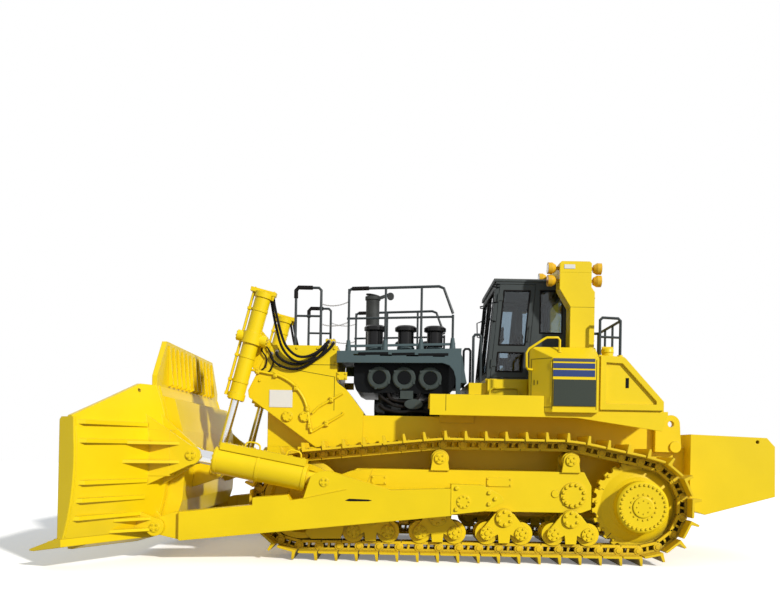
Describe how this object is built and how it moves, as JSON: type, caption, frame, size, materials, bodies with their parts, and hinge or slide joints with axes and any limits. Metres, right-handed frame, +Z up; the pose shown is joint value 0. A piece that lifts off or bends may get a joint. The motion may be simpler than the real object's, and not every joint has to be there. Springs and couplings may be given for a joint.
{
  "type": "bulldozer",
  "caption": "Very large mining crawler tractor with a full-U blade on push arms, a cab behind a long engine deck, and a rear counterweight.",
  "frame": {"origin": "middle of the bounding box, on the ground under the grousers", "axes": "+X forward towards the blade, +Y to the operator's left, +Z up"},
  "size_m": [11.4252, 7.36, 4.9],
  "materials": {
    "yellow": "satin",
    "slate": "satin",
    "black": "matte",
    "steel": "worn",
    "chrome": "polished",
    "glass": "tinted"
  },
  "bodies": {
    "chassis": {"main_frame": "yellow", "cross_shafts": "yellow", "radiator_guard": "yellow", "side_decks": "yellow", "cab_base": "yellow", "rops_posts": "yellow", "rops_beam": "yellow", "work_lamps": "yellow", "side_cabinets": "yellow", "fuel_tank": "yellow", "tow_brackets": "yellow", "counterweight": "yellow", "track_frame_left": "yellow", "track_frame_right": "yellow", "sprockets": "yellow", "idlers": "yellow", "bogies": "yellow", "track_rollers": "yellow", "carrier_rollers": "yellow", "radiator_grille": "slate", "engine": "slate", "exhaust_stack": "slate", "engine_deck": "slate", "handrails": "slate", "cab_roof": "slate", "cab_front": "slate", "cab_back": "slate", "cab_side_left": "slate", "cab_side_right": "slate", "air_cleaners": "black", "precleaners": "black", "operator_seat": "black", "control_console": "black", "track_left": "steel", "track_right": "steel", "cab_glass": "glass"},
    "push_frame": {"push_arm_left": "yellow", "push_arm_right": "yellow"},
    "blade": {"blade_body": "yellow", "cutting_edge": "steel"},
    "cab_door_l": {"cab_door_left": "slate", "door_glass_left": "glass"},
    "cab_door_r": {"cab_door_right": "slate", "door_glass_right": "glass"},
    "tilt_barrel_l": {"tilt_barrel_left": "yellow"},
    "tilt_rod_l": {"tilt_rod_left": "chrome"},
    "lift_barrel_l": {"lift_barrel_left": "yellow"},
    "lift_rod_l": {"lift_rod_left": "chrome"},
    "tilt_barrel_r": {"tilt_barrel_right": "yellow"},
    "tilt_rod_r": {"tilt_rod_right": "chrome"},
    "lift_barrel_r": {"lift_barrel_right": "yellow"},
    "lift_rod_r": {"lift_rod_right": "chrome"}
  },
  "joints": [
    {"name": "blade_lift", "type": "hinge", "parent": "chassis", "child": "push_frame", "pos_m": [-0.45256, 0, 0.99], "axis": [0, -1, 0], "range_deg": [-5, 11]},
    {"name": "blade_pitch", "type": "hinge", "parent": "push_frame", "child": "blade", "pos_m": [4.21744, 0, 0.525], "axis": [0, -1, 0], "range_deg": [-4, 4]},
    {"name": "lift_swing_l", "type": "hinge", "parent": "chassis", "child": "lift_barrel_l", "pos_m": [3.00244, 1.27, 3.565], "axis": [0, -1, 0], "range_deg": [-1.23, 2.59]},
    {"name": "lift_stroke_l", "type": "slide", "parent": "lift_barrel_l", "child": "lift_rod_l", "axis": [0.2472, 0, -0.969], "range_m": [-0.77337, 0.35371]},
    {"name": "tilt_swing_l", "type": "hinge", "parent": "push_frame", "child": "tilt_barrel_l", "pos_m": [1.66244, 2.27, 1.25], "axis": [0, -1, 0], "range_deg": [-0.72, 0.72]},
    {"name": "tilt_stroke_l", "type": "slide", "parent": "tilt_barrel_l", "child": "tilt_rod_l", "axis": [0.9833, 0, 0.1821], "range_m": [-0.08618, 0.08618]},
    {"name": "lift_swing_r", "type": "hinge", "parent": "chassis", "child": "lift_barrel_r", "pos_m": [3.00244, -1.27, 3.565], "axis": [0, -1, 0], "range_deg": [-1.23, 2.59]},
    {"name": "lift_stroke_r", "type": "slide", "parent": "lift_barrel_r", "child": "lift_rod_r", "axis": [0.2472, 0, -0.969], "range_m": [-0.77337, 0.35371]},
    {"name": "tilt_swing_r", "type": "hinge", "parent": "push_frame", "child": "tilt_barrel_r", "pos_m": [1.66244, -2.27, 1.25], "axis": [0, -1, 0], "range_deg": [-0.72, 0.72]},
    {"name": "tilt_stroke_r", "type": "slide", "parent": "tilt_barrel_r", "child": "tilt_rod_r", "axis": [0.9833, 0, 0.1821], "range_m": [-0.08618, 0.08618]},
    {"name": "cab_door_left_swing", "type": "hinge", "parent": "chassis", "child": "cab_door_l", "pos_m": [-0.98731, 1.0153, 3.01], "axis": [0.0872, 0, -0.9962], "range_deg": [0, 95]},
    {"name": "cab_door_right_swing", "type": "hinge", "parent": "chassis", "child": "cab_door_r", "pos_m": [-0.98731, -1.0153, 3.01], "axis": [-0.0872, 0, 0.9962], "range_deg": [0, 95]}
  ],
  "couplings": [
    {"joint": "lift_swing_l", "follows": "blade_lift", "ratio": 0.2267},
    {"joint": "lift_stroke_l", "follows": "blade_lift", "m_per_rad": -4.0074},
    {"joint": "tilt_swing_l", "follows": "blade_pitch", "ratio": -0.15501},
    {"joint": "tilt_stroke_l", "follows": "blade_pitch", "m_per_rad": -1.1772},
    {"joint": "lift_swing_r", "follows": "blade_lift", "ratio": 0.2267},
    {"joint": "lift_stroke_r", "follows": "blade_lift", "m_per_rad": -4.0074},
    {"joint": "tilt_swing_r", "follows": "blade_pitch", "ratio": -0.15501},
    {"joint": "tilt_stroke_r", "follows": "blade_pitch", "m_per_rad": -1.1772}
  ]
}
